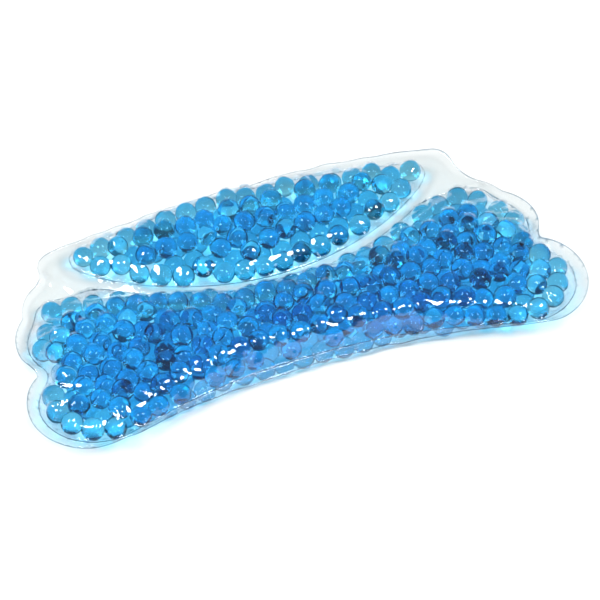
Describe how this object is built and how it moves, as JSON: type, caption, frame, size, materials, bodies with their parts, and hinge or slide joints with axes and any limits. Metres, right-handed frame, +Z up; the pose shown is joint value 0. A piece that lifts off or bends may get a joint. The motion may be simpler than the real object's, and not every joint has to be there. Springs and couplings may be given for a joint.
{
  "type": "gel bead eye pillow",
  "caption": "Hot or cold eye pillow: clear film pack with a welded flange and two chambers of blue gel beads, shaped to rest over the eyes and brow.",
  "frame": {"origin": "middle of the pack's width and depth, on the surface that it lies on", "axes": "+X along the width, +Y from the front, hollow edge to the rear, arched edge, +Z up from the resting face"},
  "size_m": [0.21, 0.11, 0.0222],
  "materials": {
    "clear_film": "clear, glossy, flexible",
    "fused_film": "clear, glossy, fused flat",
    "gel_beads": "translucent wet gel"
  },
  "bodies": {
    "root": {"front_upper_film": "clear_film", "rear_upper_film": "clear_film", "front_lower_film": "clear_film", "rear_lower_film": "clear_film", "perimeter_weld": "fused_film", "chamber_weld": "fused_film", "front_port_weld": "fused_film", "rear_port_weld": "fused_film", "front_beads_bottom_layer": "gel_beads", "front_beads_middle_layer": "gel_beads", "front_beads_top_layer": "gel_beads", "rear_beads_bottom_layer": "gel_beads", "rear_beads_top_layer": "gel_beads"}
  },
  "joints": []
}
